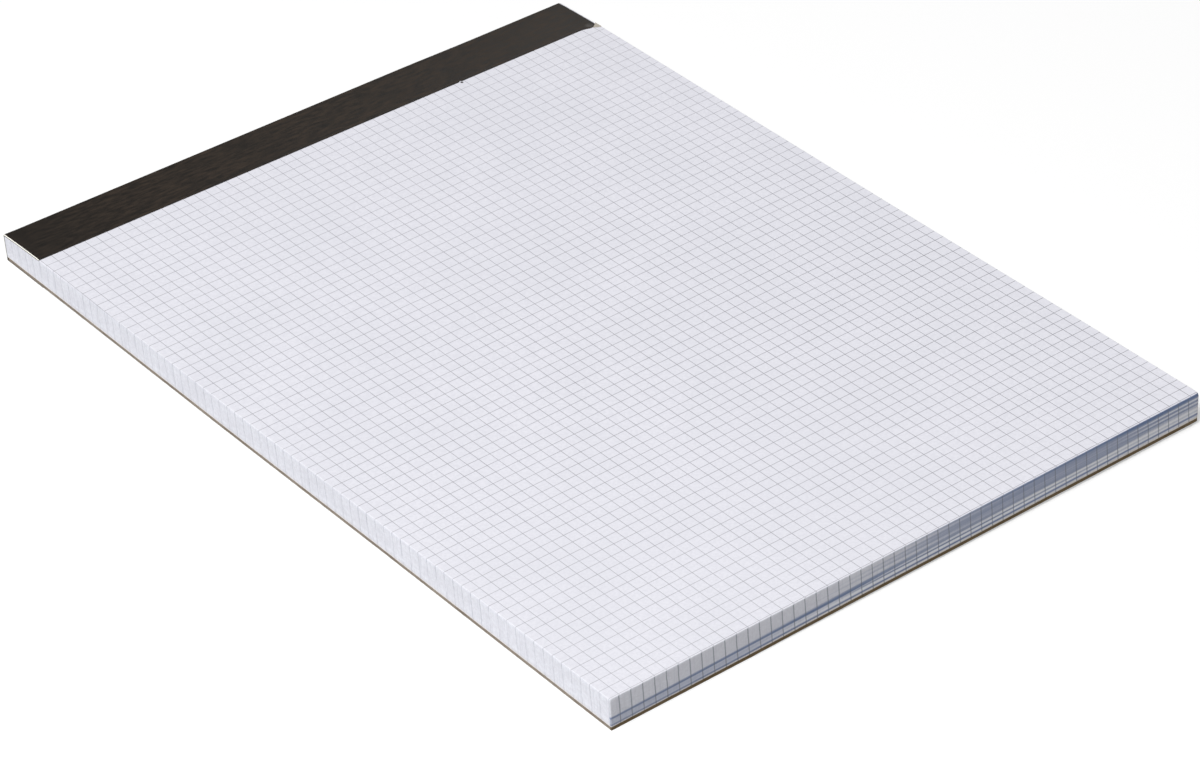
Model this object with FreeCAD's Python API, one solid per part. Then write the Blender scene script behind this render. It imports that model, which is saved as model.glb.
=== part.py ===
import FreeCAD, Part
import math
import os

# A top-bound writing pad lying face up: a block of ruled sheets on a chipboard back, stapled
# through the head and closed there with a folded strip of binding tape.
# Frame: +X to the writer's right, +Y towards the bound head, +Z up. The origin lies on the
# surface under the pad, below the middle of its overall length and width.
# All lengths are in millimetres.

# Sheets: 8 1/2 by 11 3/4 inches, cut to one size with the board.
SHEET_WIDTH = 215.9
SHEET_LENGTH = 298.45
SHEET_THICKNESS = 0.092
SHEET_COUNT = 100
# The sheets lie loose at the foot and are drawn closer together towards the stapled head.
HEAD_TAPER = 0.5
# The knife drags the edges of the top sheets down to a small round.
EDGE_ROUND = 0.4

# Chipboard back.
BOARD_THICKNESS = 1.2

# The head is pressed down under the staples and the tape, in one long curve.
HEAD_PRESS = 0.68
HEAD_PRESS_RUN = 30.0
HEAD_FOLD_ROUND = 0.5

# Binding tape: one strip that folds over the head, measured from its fold outside.
TAPE_THICKNESS = 0.28
FRONT_FLAP_DEPTH = 19.8
BACK_FLAP_DEPTH = 20.2

# Damage to the tape's front edge: a nick, and a right-hand corner that is pulled forward and
# torn, so that a tongue of the strip's pale core is left without its black face.
NICK_WIDTH = 1.2
NICK_DEPTH = 0.7
NICK_FROM_RIGHT = 55.0
CORE_THICKNESS = 0.12
PULLED_WIDTH = 7.0
PULLED_REACH = 0.9
TORN_WIDTH = 2.4
TORN_ALONG_SIDE = 1.0
TONGUE_REACH = 2.7

# Staples of flattened wire, hidden below the tape: their size outside, bends and places.
STAPLE_COUNT = 4
STAPLE_CROWN = 13.0
WIRE_WIDTH = 0.7
WIRE_THICKNESS = 0.5
STAPLE_CLINCH = 4.6
STAPLE_BEND = 0.8
STAPLE_FROM_HEAD = 8.0
STAPLE_END_MARGIN = 26.0
# The wire lies this far below the surface that it is pressed into.
STAPLE_SINK = 0.05
# Room round the wire in the paper and the board.
STAPLE_ROOM = 0.02

# Levels and edges that follow from the sizes above.
BOARD_BOTTOM = TAPE_THICKNESS
BOARD_TOP = BOARD_BOTTOM + BOARD_THICKNESS
PAGES_TOP = BOARD_TOP + SHEET_COUNT * SHEET_THICKNESS
OVERALL_LENGTH = SHEET_LENGTH + TAPE_THICKNESS
FOOT = -OVERALL_LENGTH / 2
HEAD = FOOT + SHEET_LENGTH
TAPE_HEAD = HEAD + TAPE_THICKNESS
FRONT_FLAP_EDGE = TAPE_HEAD - FRONT_FLAP_DEPTH
BACK_FLAP_EDGE = TAPE_HEAD - BACK_FLAP_DEPTH
RIGHT = SHEET_WIDTH / 2
LEFT = -RIGHT
FRONT_HEIGHTS = (BOARD_TOP, PAGES_TOP + TAPE_THICKNESS)
BACK_HEIGHTS = (0.0, BOARD_TOP)

# The top slopes down evenly from the foot, and the pressed head is an arc that leaves the
# slope at PRESS_START without a kink.
PRESS_START = HEAD - HEAD_PRESS_RUN
PRESS_START_Z = PAGES_TOP - HEAD_TAPER
SLOPE = math.atan2(HEAD_TAPER, PRESS_START - FOOT)
PRESS_RADIUS = (HEAD_PRESS_RUN ** 2 + HEAD_PRESS ** 2) / (2 * HEAD_PRESS)
PRESS_CENTRE_Y = PRESS_START - PRESS_RADIUS * math.sin(SLOPE)
PRESS_CENTRE_Z = PRESS_START_Z - PRESS_RADIUS * math.cos(SLOPE)


def top_at(y):
    """Height of the top sheet at y, above the pressed head."""
    return PRESS_CENTRE_Z + math.sqrt(PRESS_RADIUS ** 2 - (y - PRESS_CENTRE_Y) ** 2)


def point(y, z, x=0.0):
    return FreeCAD.Vector(x, y, z)


def line(start, end):
    return Part.LineSegment(start, end).toShape()


def arc(centre_y, centre_z, radius, from_angle, to_angle):
    """Arc in the side view, from one angle to another, in radians from +Y towards +Z."""
    ends = []
    for angle in (from_angle, (from_angle + to_angle) / 2, to_angle):
        y = centre_y + radius * math.cos(angle)
        z = centre_z + radius * math.sin(angle)
        ends.append(point(y, z))
    return Part.Arc(*ends).toShape()


def prism(outline, x_start, x_end):
    """Solid with the given side outline, a list of edges, between two places along X."""
    face = Part.Face(Part.Wire(outline))
    face.translate(FreeCAD.Vector(x_start, 0, 0))
    return face.extrude(FreeCAD.Vector(x_end - x_start, 0, 0))


def plan_prism(corners, low, high):
    """Solid with the given corners in plan, (x, y) each, between two heights."""
    points = [FreeCAD.Vector(x, y, low) for x, y in corners]
    face = Part.Face(Part.makePolygon(points + points[:1]))
    return face.extrude(FreeCAD.Vector(0, 0, high - low))


def box(x_span, y_span, z_span):
    corner = FreeCAD.Vector(x_span[0], y_span[0], z_span[0])
    return Part.makeBox(x_span[1] - x_span[0], y_span[1] - y_span[0], z_span[1] - z_span[0], corner)


def pad_outline(grow):
    """Side outline of the sheets and the board together, with the top, head and bottom
    moved out by grow, as a strip of that thickness would lie on them."""
    fold_y = HEAD - HEAD_FOLD_ROUND
    reach = PRESS_RADIUS - HEAD_FOLD_ROUND
    fold_z = PRESS_CENTRE_Z + math.sqrt(reach ** 2 - (fold_y - PRESS_CENTRE_Y) ** 2)
    right_angle = math.pi / 2
    enters_press = right_angle - SLOPE
    leaves_press = math.atan2(fold_z - PRESS_CENTRE_Z, fold_y - PRESS_CENTRE_Y)
    top_foot = point(FOOT, PAGES_TOP + grow / math.cos(SLOPE))
    top_press = point(PRESS_START + grow * math.sin(SLOPE), PRESS_START_Z + grow * math.cos(SLOPE))
    bottom = BOARD_BOTTOM - grow
    outline = [
        line(point(FOOT, bottom), top_foot),
        line(top_foot, top_press),
        arc(PRESS_CENTRE_Y, PRESS_CENTRE_Z, PRESS_RADIUS + grow, enters_press, leaves_press),
        arc(fold_y, fold_z, HEAD_FOLD_ROUND + grow, leaves_press, 0.0),
        line(point(HEAD + grow, fold_z), point(HEAD + grow, BOARD_BOTTOM)),
    ]
    if grow > 0:
        outline.append(arc(HEAD, BOARD_BOTTOM, grow, 0.0, -right_angle))
    outline.append(line(point(HEAD, bottom), point(FOOT, bottom)))
    return outline


def layer(thickness):
    """Skin of one thickness all over the pad's top, head and bottom."""
    outside = prism(pad_outline(thickness), LEFT, RIGHT)
    return outside.cut(prism(pad_outline(0.0), LEFT, RIGHT))


def staple_places():
    """Middles of the staples, as (x, y), evenly spaced across the head."""
    first = LEFT + STAPLE_END_MARGIN
    step = (RIGHT - STAPLE_END_MARGIN - first) / max(STAPLE_COUNT - 1, 1)
    return [(first + step * index, HEAD - STAPLE_FROM_HEAD) for index in range(STAPLE_COUNT)]


def staple_levels(y):
    """Underside of the clinched ends and top of the crown."""
    return BOARD_BOTTOM + STAPLE_SINK, top_at(y) - STAPLE_SINK


def rounded_slab(x_span, y_span, z_span, radius):
    """Block with its four edges along Y rounded."""
    slab = box(x_span, y_span, z_span)
    slack = radius / 2
    rounded = []
    for edge in slab.Edges:
        bounds = edge.BoundBox
        if bounds.XLength < slack and bounds.ZLength < slack:
            rounded.append(edge)
    return slab.makeFillet(radius, rounded)


def staple(x, y, room):
    """One staple, bent round to its clinched ends, or with room the space that it takes up."""
    low, high = staple_levels(y)
    half = STAPLE_CROWN / 2
    across = WIRE_WIDTH / 2 + room
    inset = WIRE_THICKNESS + room
    outside = rounded_slab((x - half - room, x + half + room), (y - across, y + across),
                           (low - room, high + room), STAPLE_BEND + room)
    inside = rounded_slab((x - half + inset, x + half - inset), (y - across, y + across),
                          (low + inset, high - inset), STAPLE_BEND - inset)
    tip = half - STAPLE_CLINCH - room
    gap = box((x - tip, x + tip), (y - across, y + across), (low - room, low + inset))
    return outside.cut(inside).cut(gap)


def staple_seat(x, y):
    """Space for one staple: holes for the legs, and grooves that are open to the top sheet
    and to the underside of the board, where the crown and the ends are pressed in."""
    low, high = staple_levels(y)
    half = STAPLE_CROWN / 2 + STAPLE_ROOM
    end = STAPLE_CLINCH + STAPLE_ROOM * 2
    along = (y - WIRE_WIDTH / 2 - STAPLE_ROOM, y + WIRE_WIDTH / 2 + STAPLE_ROOM)
    above = (high - WIRE_THICKNESS, PAGES_TOP + WIRE_THICKNESS)
    below = (BOARD_BOTTOM - WIRE_THICKNESS, low + WIRE_THICKNESS)
    crown = box((x - half, x + half), along, above)
    left_end = box((x - half, x - half + end), along, below)
    right_end = box((x + half - end, x + half), along, below)
    return staple(x, y, STAPLE_ROOM).multiFuse([crown, left_end, right_end])


def cut_seats(solid):
    for x, y in staple_places():
        solid = solid.cut(staple_seat(x, y))
    return solid


def make_page_block():
    """All the ruled sheets as one block, rounded along the sides and foot of the top sheet."""
    whole = prism(pad_outline(0.0), LEFT, RIGHT)
    pages = whole.common(box((LEFT, RIGHT), (FOOT, HEAD), (BOARD_TOP, PAGES_TOP)))
    middle_z = (BOARD_TOP + PAGES_TOP) / 2
    rounded = []
    for edge in pages.Edges:
        bounds = edge.BoundBox
        runs_along = bounds.YLength > HEAD_FOLD_ROUND * 2
        at_foot = bounds.YMax < FOOT + EDGE_ROUND
        if bounds.ZMin > middle_z and (runs_along or at_foot):
            rounded.append(edge)
    return cut_seats(pages.makeFillet(EDGE_ROUND, rounded))


def make_backing_board():
    """Flat chipboard, cut flush with the sheets."""
    board = box((LEFT, RIGHT), (FOOT, HEAD), (BOARD_BOTTOM, BOARD_TOP))
    return cut_seats(board)


def nick():
    """Space of the small cut in the tape's front edge."""
    middle = RIGHT - NICK_FROM_RIGHT
    corners = [
        (middle - NICK_WIDTH / 2, FRONT_FLAP_EDGE),
        (middle + NICK_WIDTH / 2, FRONT_FLAP_EDGE),
        (middle, FRONT_FLAP_EDGE + NICK_DEPTH),
    ]
    return plan_prism(corners, *FRONT_HEIGHTS)


def damaged_corner():
    """Plan outlines of the corner that is pulled forward and of the torn tongue beside it."""
    tear_start = (RIGHT, FRONT_FLAP_EDGE + TORN_ALONG_SIDE)
    tear_end = (RIGHT - TORN_WIDTH, FRONT_FLAP_EDGE - PULLED_REACH)
    pulled = [
        (RIGHT - PULLED_WIDTH, FRONT_FLAP_EDGE + TORN_ALONG_SIDE),
        (RIGHT - PULLED_WIDTH, FRONT_FLAP_EDGE),
        tear_end,
        tear_start,
    ]
    tongue = [tear_end, (RIGHT, FRONT_FLAP_EDGE - TONGUE_REACH), tear_start]
    return plan_prism(pulled, *FRONT_HEIGHTS), plan_prism(tongue, *FRONT_HEIGHTS)


def make_binding_tape():
    """One strip with a front flap, a spine over the head and a back flap."""
    front = box((LEFT, RIGHT), (FRONT_FLAP_EDGE, TAPE_HEAD), FRONT_HEIGHTS)
    back = box((LEFT, RIGHT), (BACK_FLAP_EDGE, TAPE_HEAD), BACK_HEIGHTS)
    pulled, tongue = damaged_corner()
    room = front.multiFuse([back, pulled]).cut(nick()).cut(tongue)
    strip = layer(TAPE_THICKNESS).common(room)
    core = layer(CORE_THICKNESS).common(tongue)
    return strip.fuse(core).removeSplitter()


def make_staples():
    return Part.Compound([staple(x, y, 0.0) for x, y in staple_places()])


PIECES = {
    "page_block": make_page_block,
    "backing_board": make_backing_board,
    "binding_tape": make_binding_tape,
    "staples": make_staples,
}

os.makedirs("parts", exist_ok=True)
for name, make in PIECES.items():
    shape = make()
    shape.exportStep("parts/" + name + ".step")
    print(name, len(shape.Solids), "solids", round(shape.Volume, 1), "mm3, valid", shape.isValid())
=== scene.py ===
import math

import bpy
import numpy as np
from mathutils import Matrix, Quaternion, Vector


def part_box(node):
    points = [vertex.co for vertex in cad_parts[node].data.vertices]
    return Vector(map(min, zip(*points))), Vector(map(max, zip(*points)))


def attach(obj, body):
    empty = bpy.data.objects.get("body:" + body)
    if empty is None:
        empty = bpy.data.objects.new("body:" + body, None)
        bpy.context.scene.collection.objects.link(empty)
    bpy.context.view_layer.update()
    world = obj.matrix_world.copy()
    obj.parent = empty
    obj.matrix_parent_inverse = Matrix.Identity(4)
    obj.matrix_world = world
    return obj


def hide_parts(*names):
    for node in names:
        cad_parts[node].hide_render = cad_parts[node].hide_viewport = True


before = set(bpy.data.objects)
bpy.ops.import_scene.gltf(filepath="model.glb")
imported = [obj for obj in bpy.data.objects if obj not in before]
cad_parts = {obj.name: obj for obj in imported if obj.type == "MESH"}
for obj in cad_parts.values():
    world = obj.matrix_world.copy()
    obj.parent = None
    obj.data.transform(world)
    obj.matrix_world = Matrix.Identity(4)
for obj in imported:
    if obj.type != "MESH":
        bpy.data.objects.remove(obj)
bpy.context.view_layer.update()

# Camera: a long lens that looks down on the pad over its near left corner, as the photograph
# does. Its place, aim and tilt were fitted to the pad's edges and to the printed squares.
# Lengths below are written in millimetres and turned to metres by MM.
MM = 0.001
CAMERA_PLACE = Vector((-665.90, -883.99, 755.36)) * MM
CAMERA_AIM = Vector((0.496336, 0.653370, -0.571628))
CAMERA_TILT = math.radians(-1.929)
CAMERA_LENS = 134.74
SENSOR_WIDTH = 36.0
NEAREST_SEEN = 0.01
FARTHEST_SEEN = 100.0

camera_data = bpy.data.cameras.new("camera")
camera_data.lens = CAMERA_LENS
camera_data.sensor_width = SENSOR_WIDTH
camera_data.clip_start = NEAREST_SEEN
camera_data.clip_end = FARTHEST_SEEN
camera = bpy.data.objects.new("camera", camera_data)
camera.rotation_mode = "QUATERNION"
tilt = Quaternion((0, 0, 1), CAMERA_TILT)
camera.rotation_quaternion = CAMERA_AIM.to_track_quat("-Z", "Y") @ tilt
camera.location = CAMERA_PLACE
bpy.context.scene.collection.objects.link(camera)
bpy.context.scene.camera = camera

# Studio: one wide soft lamp to the left of the pad, a weak panel behind it on the right that
# the tape's face mirrors, and an even pale surround. Together they light the top sheet at
# about 1, so that colours come out as they are written.
LAMPS = (
    {"name": "soft_key", "place": (-1600, -500, 2450), "size": 1500, "watts": 93.0},
    {"name": "back_panel", "place": (1700, 1500, 1300), "size": 900, "watts": 7.0},
)
SURROUND_LIGHT = 0.10
SURROUND_MIRRORED = 0.10
WHITE = (1.0, 1.0, 1.0, 1.0)


def feed(tree, value, socket):
    """Links an output to the socket, or writes a plain value on it."""
    if isinstance(value, bpy.types.NodeSocket):
        tree.links.new(value, socket)
    elif value is not None:
        socket.default_value = value


def node(tree, kind, *values, inputs=None, **settings):
    """New shader node, its sockets fed in order by values and by name with inputs."""
    made = tree.nodes.new("ShaderNode" + kind)
    for name, setting in settings.items():
        setattr(made, name, setting)
    for socket, value in zip(made.inputs, values):
        feed(tree, value, socket)
    for name, value in (inputs or {}).items():
        feed(tree, value, made.inputs[name])
    return made


def maths(tree, operation, *values):
    return node(tree, "Math", *values, operation=operation).outputs[0]


def product(tree, value, *others):
    """All the values multiplied together."""
    for other in others:
        value = maths(tree, "MULTIPLY", value, other)
    return value


def less(tree, value, other):
    return maths(tree, "SUBTRACT", value, other)


for lamp in LAMPS:
    light = bpy.data.lights.new(lamp["name"], "AREA")
    light.shape = "DISK"
    light.size = lamp["size"] * MM
    light.energy = lamp["watts"]
    holder = bpy.data.objects.new(lamp["name"], light)
    holder.location = Vector(lamp["place"]) * MM
    holder.rotation_mode = "QUATERNION"
    holder.rotation_quaternion = (-holder.location).to_track_quat("-Z", "Y")
    bpy.context.scene.collection.objects.link(holder)

surround = bpy.data.worlds.new("pale_surround")
surround.use_nodes = True
surround.node_tree.nodes.clear()
sky = surround.node_tree
rays = node(sky, "LightPath")
mirrored = maths(sky, "MAXIMUM", rays.outputs["Is Glossy Ray"], rays.outputs["Is Transmission Ray"])
more = SURROUND_MIRRORED - SURROUND_LIGHT
strength = maths(sky, "MULTIPLY_ADD", mirrored, more, SURROUND_LIGHT)
strength = maths(sky, "MAXIMUM", strength, rays.outputs["Is Camera Ray"])
glow = node(sky, "Background", WHITE, strength)
node(sky, "OutputWorld", glow.outputs[0])
bpy.context.scene.world = surround
bpy.context.scene.view_settings.view_transform = "Standard"

# Floor: a plain pale sheet that runs on past the view. It keeps the pad's soft shadow, and a
# little glow for the camera alone brings it to the white of the photograph.
FLOOR_HALF = 6000.0
FLOOR_PAINT = (0.60, 0.60, 0.60, 1.0)
FLOOR_GLOW = 0.45

floor_mesh = bpy.data.meshes.new("floor")
corners = [(-1, -1), (1, -1), (1, 1), (-1, 1)]
corners = [(x * FLOOR_HALF * MM, y * FLOOR_HALF * MM, 0) for x, y in corners]
floor_mesh.from_pydata(corners, [], [range(4)])
floor = bpy.data.objects.new("floor", floor_mesh)
bpy.context.scene.collection.objects.link(floor)
floor_paint = bpy.data.materials.new("floor_paint")
floor_paint.use_nodes = True
paint = floor_paint.node_tree
paint.nodes.clear()
matt = node(paint, "BsdfDiffuse", FLOOR_PAINT)
seen = node(paint, "LightPath")
glow_strength = product(paint, seen.outputs["Is Camera Ray"], FLOOR_GLOW)
glowing = node(paint, "Emission", WHITE, glow_strength)
both = node(paint, "AddShader", matt.outputs[0], glowing.outputs[0])
node(paint, "OutputMaterial", both.outputs[0])
floor_mesh.materials.append(floor_paint)

# Chipboard back: grey-brown board of pressed waste paper, cut by the same knife as the sheets,
# so that its edge is flush with theirs, with fibres torn along it. It lies under the sheets
# and is held by the staples and the tape.
BOARD_CORNER = 1.3
BOARD_SQUARENESS = 0.85
BOARD_RINGS = 9
BOARD_STEP = 2.0
BOARD_SAG = ((-108.0, 0.26), (-60.0, 0.17), (-42.0, -0.05), (-22.0, -0.20), (14.0, -0.33),
             (50.0, -0.48), (75.0, -0.56), (108.0, -0.60))
SAG_FULL_TO = 20.0
SAG_GONE_AT = 124.0
LEFT_LEAN = 0.26
LEFT_SHIFT = 0.30
LEFT_LEAN_HEIGHT = 10.0
LEFT_SHIFT_RUN = (-60.0, 40.0)
RIM = 1.8
FRAY_DEPTH = 0.04
FRAY_LENGTH = 4.0
FRAY_SEED = 40
BOARD_SET_IN = 0.01
BOARD_EDGE_ROUND = 0.07
BOARD_DARK = (0.235, 0.190, 0.150, 1)
BOARD_MID = (0.335, 0.285, 0.235, 1)
BOARD_PALE = (0.50, 0.45, 0.39, 1)
# Painted shade: the colour given to the board's foot edge, darker and browner than its other edges.
BOARD_FOOT_SHADE = (0.135, 0.085, 0.022, 1)
FOOT_SHADE_SHARE = 0.74
FOOT_SHADE_DEPTH = (0.3, 0.8)
BOARD_LAYERS = (1.0, 1.0, 3.5)
BOARD_CLOUDS = 0.16
BOARD_FIBRES = 1.6
BOARD_BLADE = 1.6
FLECK_SHARE = 0.55
BLADE_SHARE = 0.45
BLADE_RELIEF = 0.8
BOARD_ROUGHNESS = (0.80, 0.98)
BOARD_GLOSS = 0.25
BOARD_RELIEF = {"Strength": 0.55, "Distance": 0.12 * MM}


def in_mm(node_name):
    """Lowest and highest corner of a solid of the frame, in millimetres."""
    return [tuple(value / MM for value in corner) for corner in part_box(node_name)]


def stops(start, end, step):
    """Evenly spaced places from start to end, about one step apart."""
    return np.linspace(start, end, max(2, int(round((end - start) / step)) + 1))


def outline(low, high, step, corner, arc_steps=6):
    """Plan outline with round corners, anticlockwise: places, outward directions, and the
    step from each place on a corner's arc out to the square corner."""
    places, outward, to_square = [], [], []
    sides = [((low[0], low[1]), (1, 0)), ((high[0], low[1]), (0, 1)),
             ((high[0], high[1]), (-1, 0)), ((low[0], high[1]), (0, -1))]
    for index, (start, along) in enumerate(sides):
        length = (high[0] - low[0], high[1] - low[1])[index % 2]
        side = np.array(along, float)
        out = np.array((along[1], -along[0]), float)
        for t in stops(corner, length - corner, step):
            places.append(np.array(start) + side * t)
            outward.append(out)
            to_square.append(out * 0.0)
        centre = np.array(start) + side * (length - corner) - out * corner
        for turn in np.linspace(0, math.pi / 2, arc_steps + 1)[1:-1]:
            direction = out * math.cos(turn) + side * math.sin(turn)
            places.append(centre + direction * corner)
            outward.append(direction)
            to_square.append(direction * corner * (1 / max(math.cos(turn), math.sin(turn)) - 1))
    return np.array(places), np.array(outward), np.array(to_square)


def smooth_noise(places, seed, wavelength):
    """Soft random value from -1 to 1 for each place in plan, the same on every run."""
    rng = np.random.default_rng(seed)
    total = np.zeros(len(places))
    for _ in range(7):
        angle = rng.uniform(0, 2 * math.pi)
        stretch = rng.uniform(0.6, 1.7)
        shift = rng.uniform(0, 2 * math.pi)
        travel = places[:, 0] * math.cos(angle) + places[:, 1] * math.sin(angle)
        total += np.sin(travel * 2 * math.pi / (wavelength * stretch) + shift)
    return total / 4.0


def new_piece(name, vertices, faces, smooth=True):
    """Mesh object at the origin, from places in millimetres, that rides on the pad."""
    mesh = bpy.data.meshes.new(name)
    mesh.from_pydata((np.asarray(vertices) * MM).tolist(), [], faces)
    mesh.update()
    mesh.polygons.foreach_set("use_smooth", [smooth] * len(mesh.polygons))
    piece = bpy.data.objects.new(name, mesh)
    bpy.context.scene.collection.objects.link(piece)
    return piece


def wall_faces(rings, count):
    """Four-sided faces between rings of count vertices, each ring above the last."""
    faces = []
    for ring in range(rings - 1):
        for index in range(count):
            after = (index + 1) % count
            faces.append((ring * count + index, ring * count + after,
                          (ring + 1) * count + after, (ring + 1) * count + index))
    return faces


def bare_material(name):
    """Empty material: its node tree and its one Principled shader."""
    material = bpy.data.materials.new(name)
    material.use_nodes = True
    tree = material.node_tree
    tree.nodes.clear()
    shader = node(tree, "BsdfPrincipled")
    node(tree, "OutputMaterial", shader.outputs[0])
    return material, tree, shader


def group(name, takes, gives):
    """Shader node group with the named inputs and outputs: its tree, its two end nodes."""
    made = bpy.data.node_groups.new(name, "ShaderNodeTree")
    for title, kind, value in takes:
        socket = made.interface.new_socket(title, in_out="INPUT", socket_type="NodeSocket" + kind)
        if value is not None:
            socket.default_value = value
    for title, kind in gives:
        made.interface.new_socket(title, in_out="OUTPUT", socket_type="NodeSocket" + kind)
    return made, made.nodes.new("NodeGroupInput"), made.nodes.new("NodeGroupOutput")


def use(tree, made, **inputs):
    """The group's node in a material, its inputs fed by name with _ for each blank."""
    placed = tree.nodes.new("ShaderNodeGroup")
    placed.node_tree = made
    for name, value in inputs.items():
        feed(tree, value, placed.inputs[name.replace("_", " ")])
    return placed.outputs


def places_in_mm(tree):
    """Place on the piece, in millimetres, as a vector and as its three parts."""
    here = node(tree, "TexCoord").outputs["Object"]
    place = node(tree, "VectorMath", here, operation="SCALE", inputs={"Scale": 1 / MM}).outputs[0]
    return place, node(tree, "SeparateXYZ", place).outputs


def scaled(tree, vector, scales):
    """Vector with each of its parts times its own scale."""
    return node(tree, "VectorMath", vector, scales, operation="MULTIPLY").outputs[0]


def ramp(tree, value, start, end, low=0.0, high=1.0):
    """Value taken smoothly from low at start to high at end."""
    smooth = {"interpolation_type": "SMOOTHSTEP"}
    return node(tree, "MapRange", value, start, end, low, high, **smooth).outputs[0]


def mixed(tree, share, first, second):
    """Two colours blended by a share from 0 to 1."""
    blend = node(tree, "Mix", data_type="RGBA")
    feed(tree, share, blend.inputs[0])
    feed(tree, first, blend.inputs[6])
    feed(tree, second, blend.inputs[7])
    return blend.outputs[2]


def noise(tree, vector, scale, detail=2.0, roughness=0.5):
    """Soft random value of a place, about 0.5 in the mean."""
    inputs = {"Vector": vector, "Scale": scale, "Detail": detail, "Roughness": roughness}
    return node(tree, "TexNoise", inputs=inputs).outputs[0]


# Fibres of pressed pulp, for paper and board alike: cloudy shade, short dark or pale flecks
# and the height of the fibres.
fibre_grain, taken, given = group(
    "fibre_grain",
    [("Place", "Vector", None), ("Cloud Scale", "Float", 0.05), ("Fibre Scale", "Float", 1.0)],
    [("Cloud", "Float"), ("Fleck", "Float"), ("Height", "Float")])
tree = fibre_grain
cloud = noise(tree, taken.outputs["Place"], taken.outputs["Cloud Scale"], 3.0, 0.6)
fibre = noise(tree, taken.outputs["Place"], taken.outputs["Fibre Scale"], 4.0, 0.7)
fleck_scale = product(tree, taken.outputs["Fibre Scale"], 0.9)
fleck = noise(tree, taken.outputs["Place"], fleck_scale, 2.0, 0.9)
feed(tree, ramp(tree, cloud, 0.3, 0.7), given.inputs["Cloud"])
feed(tree, ramp(tree, fleck, 0.56, 0.68), given.inputs["Fleck"])
feed(tree, fibre, given.inputs["Height"])

# Marks that the guillotine's blade drags down a cut edge: fine upright lines of uneven width.
blade_marks, taken, given = group(
    "blade_marks", [("Place", "Vector", None), ("Fineness", "Float", 1.5)], [("Marks", "Float")])
tree = blade_marks
upright = scaled(tree, taken.outputs["Place"], (1.0, 1.0, 0.04))
feed(tree, noise(tree, upright, taken.outputs["Fineness"], 3.0, 0.65), given.inputs["Marks"])

board_low, board_high = in_mm("backing_board")


def eased(value, start, end):
    """0 before start and 1 after end, with a smooth course between."""
    share = np.clip((value - start) / (end - start), 0, 1)
    return share ** 2 * (3 - 2 * share)


def sag(x, y):
    """How far the foot of the board hangs below its level at the back flap. It is sprung: it
    comes down to the table on the left and stands up on the right."""
    across, hangs = zip(*BOARD_SAG)
    return np.interp(x, across, hangs) * eased(y, SAG_GONE_AT, SAG_FULL_TO)


def left_lean(x, y, z):
    """How far the pad's left side stands out, more at the top sheet and towards the head."""
    outer = np.clip(-x / board_high[0], 0, 1) ** 2
    lean = LEFT_LEAN * np.clip(z / LEFT_LEAN_HEIGHT, 0, 1)
    return outer * (lean + LEFT_SHIFT * eased(y, *LEFT_SHIFT_RUN))


def grid_cap(low, high, step, corner, ring_start, grid_start, arc_steps=6):
    """Even grid inside a ring of outline(), and the faces that join the two, seen from above."""
    inner_x = np.clip(stops(low[0] + corner, high[0] - corner, step), low[0] + RIM, high[0] - RIM)
    inner_y = np.clip(stops(low[1] + corner, high[1] - corner, step), low[1] + RIM, high[1] - RIM)
    mesh_x, mesh_y = np.meshgrid(inner_x, inner_y)
    wide, deep = len(inner_x), len(inner_y)
    faces = []
    for row in range(deep - 1):
        for column in range(wide - 1):
            first = grid_start + row * wide + column
            faces.append((first, first + 1, first + wide + 1, first + wide))
    sides = [list(range(wide)),
             [row * wide + wide - 1 for row in range(deep)],
             [deep * wide - 1 - column for column in range(wide)],
             [(deep - 1 - row) * wide for row in range(deep)]]
    border = []
    for side in sides:
        border.extend(side + side[-1:] * (arc_steps - 1))
    for index, inner in enumerate(border):
        after = (index + 1) % len(border)
        outer = border[after]
        face = (ring_start + index, ring_start + after, grid_start + outer, grid_start + inner)
        faces.append(face if outer != inner else face[:3])
    return np.column_stack([mesh_x.ravel(), mesh_y.ravel()]), faces


def flipped(faces):
    """The same faces, seen from the other side."""
    return [face[::-1] for face in faces]


ring_places, ring_outward, to_square = outline(board_low, board_high, BOARD_STEP, BOARD_CORNER)
ring_places += to_square * BOARD_SQUARENESS
ring_sag = sag(ring_places[:, 0], ring_places[:, 1])
board_vertices = []
for ring, height in enumerate(np.linspace(board_low[2], board_high[2], BOARD_RINGS)):
    from_edge = min(height - board_low[2], board_high[2] - height)
    dip = max(0.0, BOARD_EDGE_ROUND - from_edge)
    rounded = BOARD_EDGE_ROUND - math.sqrt(BOARD_EDGE_ROUND ** 2 - dip ** 2)
    torn = np.clip(smooth_noise(ring_places, FRAY_SEED + ring, FRAY_LENGTH), -1, 1)
    inward = rounded + FRAY_DEPTH * (1 + torn) + BOARD_SET_IN
    plan = ring_places - ring_outward * inward[:, None]
    plan[:, 0] -= left_lean(plan[:, 0], plan[:, 1], height)
    board_vertices.extend(np.column_stack([plan, height - ring_sag]).tolist())
count = len(ring_places)
board_faces = wall_faces(BOARD_RINGS, count)
for ring_start, height in ((0, board_low[2]), ((BOARD_RINGS - 1) * count, board_high[2])):
    flat, faces = grid_cap(board_low, board_high, BOARD_STEP, BOARD_CORNER, ring_start,
                           len(board_vertices))
    level = height - sag(flat[:, 0], flat[:, 1])
    flat[:, 0] -= left_lean(flat[:, 0], flat[:, 1], height)
    board_vertices.extend(np.column_stack([flat, level]).tolist())
    board_faces.extend(faces if ring_start else flipped(faces))
board = new_piece("chipboard_back", board_vertices, board_faces, smooth=False)
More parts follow.
